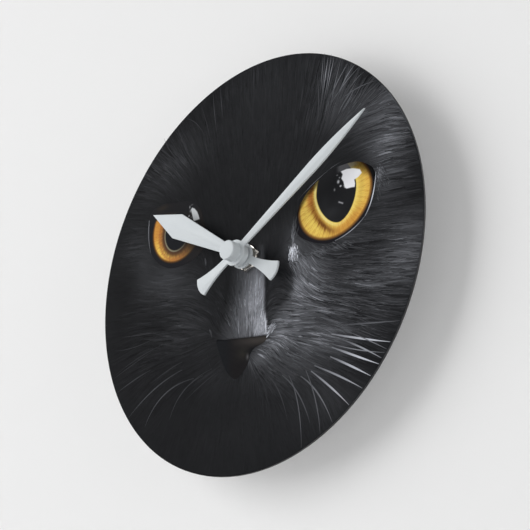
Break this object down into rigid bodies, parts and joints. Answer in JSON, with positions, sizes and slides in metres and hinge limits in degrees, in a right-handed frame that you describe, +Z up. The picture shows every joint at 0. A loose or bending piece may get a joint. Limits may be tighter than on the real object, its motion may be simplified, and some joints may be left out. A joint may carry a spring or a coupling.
{
  "type": "wall clock",
  "caption": "Round wall clock: thin disc dial printed with a black cat's face, white hour and minute hands, and a geared quartz movement with a hanger loop behind.",
  "frame": {"origin": "on the hands' axis, in the plane of the movement's flat back, which rests on the wall", "axes": "+Z up; the dial faces -Y, so +Y points into the wall; +X is right as seen from the front"},
  "size_m": [0.2032, 0.0338, 0.2032],
  "materials": {
    "printed_dial": "printed sheet with a satin clear coat",
    "rubber": "soft matt",
    "nut_nickel": "bright nickel plate over turned brass",
    "hand_white": "white lacquer",
    "collar_white": "white lacquer over turned brass",
    "cap_white": "moulded white",
    "case_black": "moulded, fine spark texture",
    "plate_white": "moulded white",
    "wheel_plastic": "moulded natural acetal",
    "spring_steel": "stamped",
    "magnet": "sintered",
    "soft_iron": "annealed, stamped",
    "bobbin_plastic": "moulded",
    "copper_wire": "enamelled copper",
    "board": "solder mask",
    "can_metal": "drawn can",
    "chip_black": "cured resin",
    "contact_metal": "nickel plated",
    "knob_plastic": "moulded",
    "battery_can": "plain sleeve"
  },
  "bodies": {
    "movement": {"dial_disc": "printed_dial", "rubber_washer": "rubber", "brass_washer": "nut_nickel", "hex_nut": "nut_nickel", "threaded_bush": "nut_nickel", "case_front": "case_black", "case_back": "case_black", "train_plate": "plate_white", "stator": "soft_iron", "coil_core": "soft_iron", "coil_bobbin": "bobbin_plastic", "coil_winding": "copper_wire", "circuit_board": "board", "quartz_crystal": "can_metal", "chip_cover": "chip_black", "contact_positive": "contact_metal", "contact_negative": "contact_metal"},
    "minute_body": {"minute_arbor": "wheel_plastic", "clutch_spring": "spring_steel", "minute_hand": "hand_white", "minute_collar": "collar_white", "hand_cap": "cap_white"},
    "hour_body": {"hour_wheel": "wheel_plastic", "hour_hand": "hand_white", "hour_collar": "collar_white"},
    "minute_wheel_body": {"minute_wheel": "wheel_plastic"},
    "knob_body": {"setting_knob": "knob_plastic"},
    "centre_body": {"centre_wheel": "wheel_plastic"},
    "third_body": {"third_wheel": "wheel_plastic"},
    "second_body": {"second_wheel": "wheel_plastic"},
    "fifth_body": {"fifth_wheel": "wheel_plastic"},
    "rotor_body": {"rotor_pinion": "wheel_plastic", "rotor_magnet": "magnet"},
    "battery": {"aa_battery": "battery_can"}
  },
  "joints": [
    {"name": "minute_turn", "type": "hinge", "parent": "movement", "child": "minute_body", "pos_m": [0, 0, 0], "axis": [0, 1, 0], "continuous": true},
    {"name": "hour_turn", "type": "hinge", "parent": "movement", "child": "hour_body", "pos_m": [0, 0, 0], "axis": [0, 1, 0], "continuous": true},
    {"name": "minute_wheel_turn", "type": "hinge", "parent": "movement", "child": "minute_wheel_body", "pos_m": [-0.00902, 0, -0.00328], "axis": [0, 1, 0], "continuous": true},
    {"name": "knob_turn", "type": "hinge", "parent": "movement", "child": "knob_body", "pos_m": [-0.01688, 0, -0.00879], "axis": [0, 1, 0], "continuous": true},
    {"name": "second_turn", "type": "hinge", "parent": "movement", "child": "second_body", "pos_m": [0.0163, 0, 0.0009], "axis": [0, 1, 0], "continuous": true},
    {"name": "centre_turn", "type": "hinge", "parent": "movement", "child": "centre_body", "pos_m": [0, 0, 0], "axis": [0, 1, 0], "continuous": true},
    {"name": "third_turn", "type": "hinge", "parent": "movement", "child": "third_body", "pos_m": [0.00979, 0, -0.00456], "axis": [0, 1, 0], "continuous": true},
    {"name": "fifth_turn", "type": "hinge", "parent": "movement", "child": "fifth_body", "pos_m": [0.01706, 0, 0.00962], "axis": [0, 1, 0], "continuous": true},
    {"name": "rotor_turn", "type": "hinge", "parent": "movement", "child": "rotor_body", "pos_m": [0.01057, 0, 0.01337], "axis": [0, 1, 0], "continuous": true},
    {"name": "battery_slide", "type": "slide", "parent": "movement", "child": "battery", "axis": [0, 1, 0], "range_m": [0, 0.02]}
  ],
  "couplings": [
    {"joint": "hour_turn", "follows": "minute_turn", "ratio": 0.083333},
    {"joint": "minute_wheel_turn", "follows": "minute_turn", "ratio": -0.33333},
    {"joint": "knob_turn", "follows": "minute_turn", "ratio": 1},
    {"joint": "third_turn", "follows": "second_turn", "ratio": -0.13333},
    {"joint": "centre_turn", "follows": "second_turn", "ratio": 0.016667},
    {"joint": "fifth_turn", "follows": "second_turn", "ratio": -6},
    {"joint": "rotor_turn", "follows": "second_turn", "ratio": 30}
  ]
}
